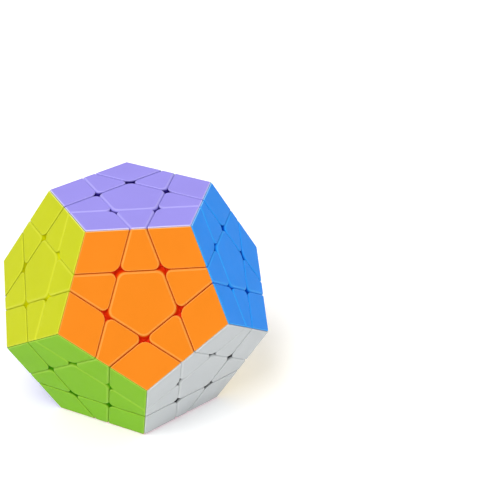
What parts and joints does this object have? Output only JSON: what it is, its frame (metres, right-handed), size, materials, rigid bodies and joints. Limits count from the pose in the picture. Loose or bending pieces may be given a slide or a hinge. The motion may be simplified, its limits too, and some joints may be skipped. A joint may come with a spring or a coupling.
{
  "type": "dodecahedron twisty puzzle",
  "caption": "Dodecahedral twisty puzzle: a pentagonal centre, edge and corner pieces on each coloured face, held to a sprung core so that any face turns about its own axis.",
  "frame": {"origin": "the middle of the puzzle, where all the face axes meet", "axes": "+Z is the axis of the lavender top face and the puzzle stands on the pink face below; -Y is the side where the orange face looks out and up"},
  "size_m": [0.0786, 0.0826, 0.0668],
  "materials": {
    "plastic_lavender": "satin lavender ABS, coloured right through",
    "plastic_orange": "satin orange ABS, coloured right through",
    "plastic_blue": "satin blue ABS, coloured right through",
    "plastic_green": "satin green ABS, coloured right through",
    "plastic_white": "satin white ABS, coloured right through",
    "plastic_yellow": "satin yellow ABS, coloured right through",
    "plastic_grey": "satin grey ABS, coloured right through",
    "plastic_cream": "satin cream ABS, coloured right through",
    "plastic_red": "satin red ABS, coloured right through",
    "plastic_navy": "satin navy ABS, coloured right through",
    "plastic_lime": "satin lime ABS, coloured right through",
    "plastic_pink": "satin pink ABS, coloured right through",
    "core_plastic": "natural white nylon, matt",
    "screw_steel": "zinc-plated steel",
    "spring_steel": "drawn spring steel"
  },
  "bodies": {
    "core_body": {"core": "core_plastic", "tension_screws": "screw_steel", "tension_springs": "spring_steel", "centre_pink": "plastic_pink"},
    "lavender_centre": {"centre_lavender": "plastic_lavender"},
    "orange_centre": {"centre_orange": "plastic_orange"},
    "blue_centre": {"centre_blue": "plastic_blue"},
    "green_centre": {"centre_green": "plastic_green"},
    "white_centre": {"centre_white": "plastic_white"},
    "yellow_centre": {"centre_yellow": "plastic_yellow"},
    "grey_centre": {"centre_grey": "plastic_grey", "edge_grey_pink": "plastic_grey"},
    "cream_centre": {"centre_cream": "plastic_cream", "edge_cream_pink": "plastic_cream"},
    "red_centre": {"centre_red": "plastic_red", "edge_red_pink": "plastic_red"},
    "navy_centre": {"centre_navy": "plastic_navy", "edge_navy_pink": "plastic_navy"},
    "lime_centre": {"centre_lime": "plastic_lime", "edge_lime_pink": "plastic_lime"},
    "lavender_orange_edge": {"edge_lavender_orange": "plastic_lavender"},
    "lavender_blue_edge": {"edge_lavender_blue": "plastic_lavender"},
    "lavender_green_edge": {"edge_lavender_green": "plastic_lavender"},
    "lavender_white_edge": {"edge_lavender_white": "plastic_lavender"},
    "lavender_yellow_edge": {"edge_lavender_yellow": "plastic_lavender"},
    "orange_blue_edge": {"edge_orange_blue": "plastic_orange"},
    "orange_yellow_edge": {"edge_orange_yellow": "plastic_orange"},
    "orange_grey_edge": {"edge_orange_grey": "plastic_orange"},
    "orange_lime_edge": {"edge_orange_lime": "plastic_orange"},
    "blue_green_edge": {"edge_blue_green": "plastic_blue"},
    "blue_grey_edge": {"edge_blue_grey": "plastic_blue"},
    "blue_cream_edge": {"edge_blue_cream": "plastic_blue"},
    "green_white_edge": {"edge_green_white": "plastic_green"},
    "green_cream_edge": {"edge_green_cream": "plastic_green"},
    "green_red_edge": {"edge_green_red": "plastic_green"},
    "white_yellow_edge": {"edge_white_yellow": "plastic_white"},
    "white_red_edge": {"edge_white_red": "plastic_white"},
    "white_navy_edge": {"edge_white_navy": "plastic_white"},
    "yellow_navy_edge": {"edge_yellow_navy": "plastic_yellow"},
    "yellow_lime_edge": {"edge_yellow_lime": "plastic_yellow"},
    "grey_cream_edge": {"edge_with_base_corner_grey_cream": "plastic_grey"},
    "grey_lime_edge": {"edge_with_base_corner_grey_lime": "plastic_grey"},
    "cream_red_edge": {"edge_with_base_corner_cream_red": "plastic_cream"},
    "red_navy_edge": {"edge_with_base_corner_red_navy": "plastic_red"},
    "navy_lime_edge": {"edge_with_base_corner_navy_lime": "plastic_navy"},
    "lavender_orange_blue_corner": {"corner_lavender_orange_blue": "plastic_lavender"},
    "lavender_orange_yellow_corner": {"corner_lavender_orange_yellow": "plastic_lavender"},
    "lavender_blue_green_corner": {"corner_lavender_blue_green": "plastic_lavender"},
    "lavender_green_white_corner": {"corner_lavender_green_white": "plastic_lavender"},
    "lavender_white_yellow_corner": {"corner_lavender_white_yellow": "plastic_lavender"},
    "orange_blue_grey_corner": {"corner_orange_blue_grey": "plastic_orange"},
    "orange_yellow_lime_corner": {"corner_orange_yellow_lime": "plastic_orange"},
    "orange_grey_lime_corner": {"corner_orange_grey_lime": "plastic_orange"},
    "blue_green_cream_corner": {"corner_blue_green_cream": "plastic_blue"},
    "blue_grey_cream_corner": {"corner_blue_grey_cream": "plastic_blue"},
    "green_white_red_corner": {"corner_green_white_red": "plastic_green"},
    "green_cream_red_corner": {"corner_green_cream_red": "plastic_green"},
    "white_yellow_navy_corner": {"corner_white_yellow_navy": "plastic_white"},
    "white_red_navy_corner": {"corner_white_red_navy": "plastic_white"},
    "yellow_navy_lime_corner": {"corner_yellow_navy_lime": "plastic_yellow"}
  },
  "joints": [
    {"name": "lavender_turn", "type": "hinge", "parent": "core_body", "child": "lavender_centre", "pos_m": [0, 0, 0], "axis": [0, 0, 1], "range_deg": [-432, 504]},
    {"name": "orange_turn", "type": "hinge", "parent": "core_body", "child": "orange_centre", "pos_m": [0, 0, 0], "axis": [0, -0.8944, 0.4472], "range_deg": [-432, 504]},
    {"name": "blue_turn", "type": "hinge", "parent": "core_body", "child": "blue_centre", "pos_m": [0, 0, 0], "axis": [0.8507, -0.2764, 0.4472], "range_deg": [-432, 504]},
    {"name": "green_turn", "type": "hinge", "parent": "core_body", "child": "green_centre", "pos_m": [0, 0, 0], "axis": [0.5257, 0.7236, 0.4472], "range_deg": [-432, 504]},
    {"name": "white_turn", "type": "hinge", "parent": "core_body", "child": "white_centre", "pos_m": [0, 0, 0], "axis": [-0.5257, 0.7236, 0.4472], "range_deg": [-432, 504]},
    {"name": "yellow_turn", "type": "hinge", "parent": "core_body", "child": "yellow_centre", "pos_m": [0, 0, 0], "axis": [-0.8507, -0.2764, 0.4472], "range_deg": [-432, 504]},
    {"name": "grey_turn", "type": "hinge", "parent": "core_body", "child": "grey_centre", "pos_m": [0, 0, 0], "axis": [0.5257, -0.7236, -0.4472], "range_deg": [-432, 504]},
    {"name": "cream_turn", "type": "hinge", "parent": "core_body", "child": "cream_centre", "pos_m": [0, 0, 0], "axis": [0.8507, 0.2764, -0.4472], "range_deg": [-432, 504]},
    {"name": "red_turn", "type": "hinge", "parent": "core_body", "child": "red_centre", "pos_m": [0, 0, 0], "axis": [0, 0.8944, -0.4472], "range_deg": [-432, 504]},
    {"name": "navy_turn", "type": "hinge", "parent": "core_body", "child": "navy_centre", "pos_m": [0, 0, 0], "axis": [-0.8507, 0.2764, -0.4472], "range_deg": [-432, 504]},
    {"name": "lime_turn", "type": "hinge", "parent": "core_body", "child": "lime_centre", "pos_m": [0, 0, 0], "axis": [-0.5257, -0.7236, -0.4472], "range_deg": [-432, 504]},
    {"name": "lavender_orange_edge_on_lavender", "type": "hinge", "parent": "orange_centre", "child": "lavender_orange_edge", "pos_m": [0, 0, 0], "axis": [0, 0, 1], "range_deg": [-432, 504]},
    {"name": "lavender_blue_edge_on_lavender", "type": "hinge", "parent": "blue_centre", "child": "lavender_blue_edge", "pos_m": [0, 0, 0], "axis": [0, 0, 1], "range_deg": [-432, 504]},
    {"name": "lavender_green_edge_on_lavender", "type": "hinge", "parent": "green_centre", "child": "lavender_green_edge", "pos_m": [0, 0, 0], "axis": [0, 0, 1], "range_deg": [-432, 504]},
    {"name": "lavender_white_edge_on_lavender", "type": "hinge", "parent": "white_centre", "child": "lavender_white_edge", "pos_m": [0, 0, 0], "axis": [0, 0, 1], "range_deg": [-432, 504]},
    {"name": "lavender_yellow_edge_on_lavender", "type": "hinge", "parent": "yellow_centre", "child": "lavender_yellow_edge", "pos_m": [0, 0, 0], "axis": [0, 0, 1], "range_deg": [-432, 504]},
    {"name": "orange_blue_edge_on_blue", "type": "hinge", "parent": "orange_centre", "child": "orange_blue_edge", "pos_m": [0, 0, 0], "axis": [0.8507, -0.2764, 0.4472], "range_deg": [-432, 504]},
    {"name": "orange_yellow_edge_on_orange", "type": "hinge", "parent": "yellow_centre", "child": "orange_yellow_edge", "pos_m": [0, 0, 0], "axis": [0, -0.8944, 0.4472], "range_deg": [-432, 504]},
    {"name": "orange_grey_edge_on_orange", "type": "hinge", "parent": "grey_centre", "child": "orange_grey_edge", "pos_m": [0, 0, 0], "axis": [0, -0.8944, 0.4472], "range_deg": [-432, 504]},
    {"name": "orange_lime_edge_on_lime", "type": "hinge", "parent": "orange_centre", "child": "orange_lime_edge", "pos_m": [0, 0, 0], "axis": [-0.5257, -0.7236, -0.4472], "range_deg": [-432, 504]},
    {"name": "blue_green_edge_on_green", "type": "hinge", "parent": "blue_centre", "child": "blue_green_edge", "pos_m": [0, 0, 0], "axis": [0.5257, 0.7236, 0.4472], "range_deg": [-432, 504]},
    {"name": "blue_grey_edge_on_grey", "type": "hinge", "parent": "blue_centre", "child": "blue_grey_edge", "pos_m": [0, 0, 0], "axis": [0.5257, -0.7236, -0.4472], "range_deg": [-432, 504]},
    {"name": "blue_cream_edge_on_blue", "type": "hinge", "parent": "cream_centre", "child": "blue_cream_edge", "pos_m": [0, 0, 0], "axis": [0.8507, -0.2764, 0.4472], "range_deg": [-432, 504]},
    {"name": "green_white_edge_on_white", "type": "hinge", "parent": "green_centre", "child": "green_white_edge", "pos_m": [0, 0, 0], "axis": [-0.5257, 0.7236, 0.4472], "range_deg": [-432, 504]},
    {"name": "green_cream_edge_on_cream", "type": "hinge", "parent": "green_centre", "child": "green_cream_edge", "pos_m": [0, 0, 0], "axis": [0.8507, 0.2764, -0.4472], "range_deg": [-432, 504]},
    {"name": "green_red_edge_on_green", "type": "hinge", "parent": "red_centre", "child": "green_red_edge", "pos_m": [0, 0, 0], "axis": [0.5257, 0.7236, 0.4472], "range_deg": [-432, 504]},
    {"name": "white_yellow_edge_on_yellow", "type": "hinge", "parent": "white_centre", "child": "white_yellow_edge", "pos_m": [0, 0, 0], "axis": [-0.8507, -0.2764, 0.4472], "range_deg": [-432, 504]},
    {"name": "white_red_edge_on_red", "type": "hinge", "parent": "white_centre", "child": "white_red_edge", "pos_m": [0, 0, 0], "axis": [0, 0.8944, -0.4472], "range_deg": [-432, 504]},
    {"name": "white_navy_edge_on_white", "type": "hinge", "parent": "navy_centre", "child": "white_navy_edge", "pos_m": [0, 0, 0], "axis": [-0.5257, 0.7236, 0.4472], "range_deg": [-432, 504]},
    {"name": "yellow_navy_edge_on_navy", "type": "hinge", "parent": "yellow_centre", "child": "yellow_navy_edge", "pos_m": [0, 0, 0], "axis": [-0.8507, 0.2764, -0.4472], "range_deg": [-432, 504]},
    {"name": "yellow_lime_edge_on_yellow", "type": "hinge", "parent": "lime_centre", "child": "yellow_lime_edge", "pos_m": [0, 0, 0], "axis": [-0.8507, -0.2764, 0.4472], "range_deg": [-432, 504]},
    {"name": "grey_cream_edge_on_cream", "type": "hinge", "parent": "grey_centre", "child": "grey_cream_edge", "pos_m": [0, 0, 0], "axis": [0.8507, 0.2764, -0.4472], "range_deg": [-432, 504]},
    {"name": "grey_lime_edge_on_grey", "type": "hinge", "parent": "lime_centre", "child": "grey_lime_edge", "pos_m": [0, 0, 0], "axis": [0.5257, -0.7236, -0.4472], "range_deg": [-432, 504]},
    {"name": "cream_red_edge_on_red", "type": "hinge", "parent": "cream_centre", "child": "cream_red_edge", "pos_m": [0, 0, 0], "axis": [0, 0.8944, -0.4472], "range_deg": [-432, 504]},
    {"name": "red_navy_edge_on_navy", "type": "hinge", "parent": "red_centre", "child": "red_navy_edge", "pos_m": [0, 0, 0], "axis": [-0.8507, 0.2764, -0.4472], "range_deg": [-432, 504]},
    {"name": "navy_lime_edge_on_lime", "type": "hinge", "parent": "navy_centre", "child": "navy_lime_edge", "pos_m": [0, 0, 0], "axis": [-0.5257, -0.7236, -0.4472], "range_deg": [-432, 504]},
    {"name": "lavender_orange_blue_corner_on_blue", "type": "hinge", "parent": "lavender_orange_edge", "child": "lavender_orange_blue_corner", "pos_m": [0, 0, 0], "axis": [0.8507, -0.2764, 0.4472], "range_deg": [-432, 504]},
    {"name": "lavender_orange_yellow_corner_on_orange", "type": "hinge", "parent": "lavender_yellow_edge", "child": "lavender_orange_yellow_corner", "pos_m": [0, 0, 0], "axis": [0, -0.8944, 0.4472], "range_deg": [-432, 504]},
    {"name": "lavender_blue_green_corner_on_green", "type": "hinge", "parent": "lavender_blue_edge", "child": "lavender_blue_green_corner", "pos_m": [0, 0, 0], "axis": [0.5257, 0.7236, 0.4472], "range_deg": [-432, 504]},
    {"name": "lavender_green_white_corner_on_white", "type": "hinge", "parent": "lavender_green_edge", "child": "lavender_green_white_corner", "pos_m": [0, 0, 0], "axis": [-0.5257, 0.7236, 0.4472], "range_deg": [-432, 504]},
    {"name": "lavender_white_yellow_corner_on_yellow", "type": "hinge", "parent": "lavender_white_edge", "child": "lavender_white_yellow_corner", "pos_m": [0, 0, 0], "axis": [-0.8507, -0.2764, 0.4472], "range_deg": [-432, 504]},
    {"name": "orange_blue_grey_corner_on_orange", "type": "hinge", "parent": "blue_grey_edge", "child": "orange_blue_grey_corner", "pos_m": [0, 0, 0], "axis": [0, -0.8944, 0.4472], "range_deg": [-432, 504]},
    {"name": "orange_yellow_lime_corner_on_yellow", "type": "hinge", "parent": "orange_lime_edge", "child": "orange_yellow_lime_corner", "pos_m": [0, 0, 0], "axis": [-0.8507, -0.2764, 0.4472], "range_deg": [-432, 504]},
    {"name": "orange_grey_lime_corner_on_orange", "type": "hinge", "parent": "grey_lime_edge", "child": "orange_grey_lime_corner", "pos_m": [0, 0, 0], "axis": [0, -0.8944, 0.4472], "range_deg": [-432, 504]},
    {"name": "blue_green_cream_corner_on_blue", "type": "hinge", "parent": "green_cream_edge", "child": "blue_green_cream_corner", "pos_m": [0, 0, 0], "axis": [0.8507, -0.2764, 0.4472], "range_deg": [-432, 504]},
    {"name": "blue_grey_cream_corner_on_blue", "type": "hinge", "parent": "grey_cream_edge", "child": "blue_grey_cream_corner", "pos_m": [0, 0, 0], "axis": [0.8507, -0.2764, 0.4472], "range_deg": [-432, 504]},
    {"name": "green_white_red_corner_on_green", "type": "hinge", "parent": "white_red_edge", "child": "green_white_red_corner", "pos_m": [0, 0, 0], "axis": [0.5257, 0.7236, 0.4472], "range_deg": [-432, 504]},
    {"name": "green_cream_red_corner_on_green", "type": "hinge", "parent": "cream_red_edge", "child": "green_cream_red_corner", "pos_m": [0, 0, 0], "axis": [0.5257, 0.7236, 0.4472], "range_deg": [-432, 504]},
    {"name": "white_yellow_navy_corner_on_white", "type": "hinge", "parent": "yellow_navy_edge", "child": "white_yellow_navy_corner", "pos_m": [0, 0, 0], "axis": [-0.5257, 0.7236, 0.4472], "range_deg": [-432, 504]},
    {"name": "white_red_navy_corner_on_white", "type": "hinge", "parent": "red_navy_edge", "child": "white_red_navy_corner", "pos_m": [0, 0, 0], "axis": [-0.5257, 0.7236, 0.4472], "range_deg": [-432, 504]},
    {"name": "yellow_navy_lime_corner_on_yellow", "type": "hinge", "parent": "navy_lime_edge", "child": "yellow_navy_lime_corner", "pos_m": [0, 0, 0], "axis": [-0.8507, -0.2764, 0.4472], "range_deg": [-432, 504]}
  ],
  "couplings": [
    {"joint": "lavender_orange_edge_on_lavender", "follows": "lavender_turn", "ratio": 1},
    {"joint": "lavender_blue_edge_on_lavender", "follows": "lavender_turn", "ratio": 1},
    {"joint": "lavender_green_edge_on_lavender", "follows": "lavender_turn", "ratio": 1},
    {"joint": "lavender_white_edge_on_lavender", "follows": "lavender_turn", "ratio": 1},
    {"joint": "lavender_yellow_edge_on_lavender", "follows": "lavender_turn", "ratio": 1},
    {"joint": "orange_blue_edge_on_blue", "follows": "blue_turn", "ratio": 1},
    {"joint": "orange_yellow_edge_on_orange", "follows": "orange_turn", "ratio": 1},
    {"joint": "orange_grey_edge_on_orange", "follows": "orange_turn", "ratio": 1},
    {"joint": "orange_lime_edge_on_lime", "follows": "lime_turn", "ratio": 1},
    {"joint": "blue_green_edge_on_green", "follows": "green_turn", "ratio": 1},
    {"joint": "blue_grey_edge_on_grey", "follows": "grey_turn", "ratio": 1},
    {"joint": "blue_cream_edge_on_blue", "follows": "blue_turn", "ratio": 1},
    {"joint": "green_white_edge_on_white", "follows": "white_turn", "ratio": 1},
    {"joint": "green_cream_edge_on_cream", "follows": "cream_turn", "ratio": 1},
    {"joint": "green_red_edge_on_green", "follows": "green_turn", "ratio": 1},
    {"joint": "white_yellow_edge_on_yellow", "follows": "yellow_turn", "ratio": 1},
    {"joint": "white_red_edge_on_red", "follows": "red_turn", "ratio": 1},
    {"joint": "white_navy_edge_on_white", "follows": "white_turn", "ratio": 1},
    {"joint": "yellow_navy_edge_on_navy", "follows": "navy_turn", "ratio": 1},
    {"joint": "yellow_lime_edge_on_yellow", "follows": "yellow_turn", "ratio": 1},
    {"joint": "grey_cream_edge_on_cream", "follows": "cream_turn", "ratio": 1},
    {"joint": "grey_lime_edge_on_grey", "follows": "grey_turn", "ratio": 1},
    {"joint": "cream_red_edge_on_red", "follows": "red_turn", "ratio": 1},
    {"joint": "red_navy_edge_on_navy", "follows": "navy_turn", "ratio": 1},
    {"joint": "navy_lime_edge_on_lime", "follows": "lime_turn", "ratio": 1},
    {"joint": "lavender_orange_blue_corner_on_blue", "follows": "blue_turn", "ratio": 1},
    {"joint": "lavender_orange_yellow_corner_on_orange", "follows": "orange_turn", "ratio": 1},
    {"joint": "lavender_blue_green_corner_on_green", "follows": "green_turn", "ratio": 1},
    {"joint": "lavender_green_white_corner_on_white", "follows": "white_turn", "ratio": 1},
    {"joint": "lavender_white_yellow_corner_on_yellow", "follows": "yellow_turn", "ratio": 1},
    {"joint": "orange_blue_grey_corner_on_orange", "follows": "orange_turn", "ratio": 1},
    {"joint": "orange_yellow_lime_corner_on_yellow", "follows": "yellow_turn", "ratio": 1},
    {"joint": "orange_grey_lime_corner_on_orange", "follows": "orange_turn", "ratio": 1},
    {"joint": "blue_green_cream_corner_on_blue", "follows": "blue_turn", "ratio": 1},
    {"joint": "blue_grey_cream_corner_on_blue", "follows": "blue_turn", "ratio": 1},
    {"joint": "green_white_red_corner_on_green", "follows": "green_turn", "ratio": 1},
    {"joint": "green_cream_red_corner_on_green", "follows": "green_turn", "ratio": 1},
    {"joint": "white_yellow_navy_corner_on_white", "follows": "white_turn", "ratio": 1},
    {"joint": "white_red_navy_corner_on_white", "follows": "white_turn", "ratio": 1},
    {"joint": "yellow_navy_lime_corner_on_yellow", "follows": "yellow_turn", "ratio": 1}
  ]
}
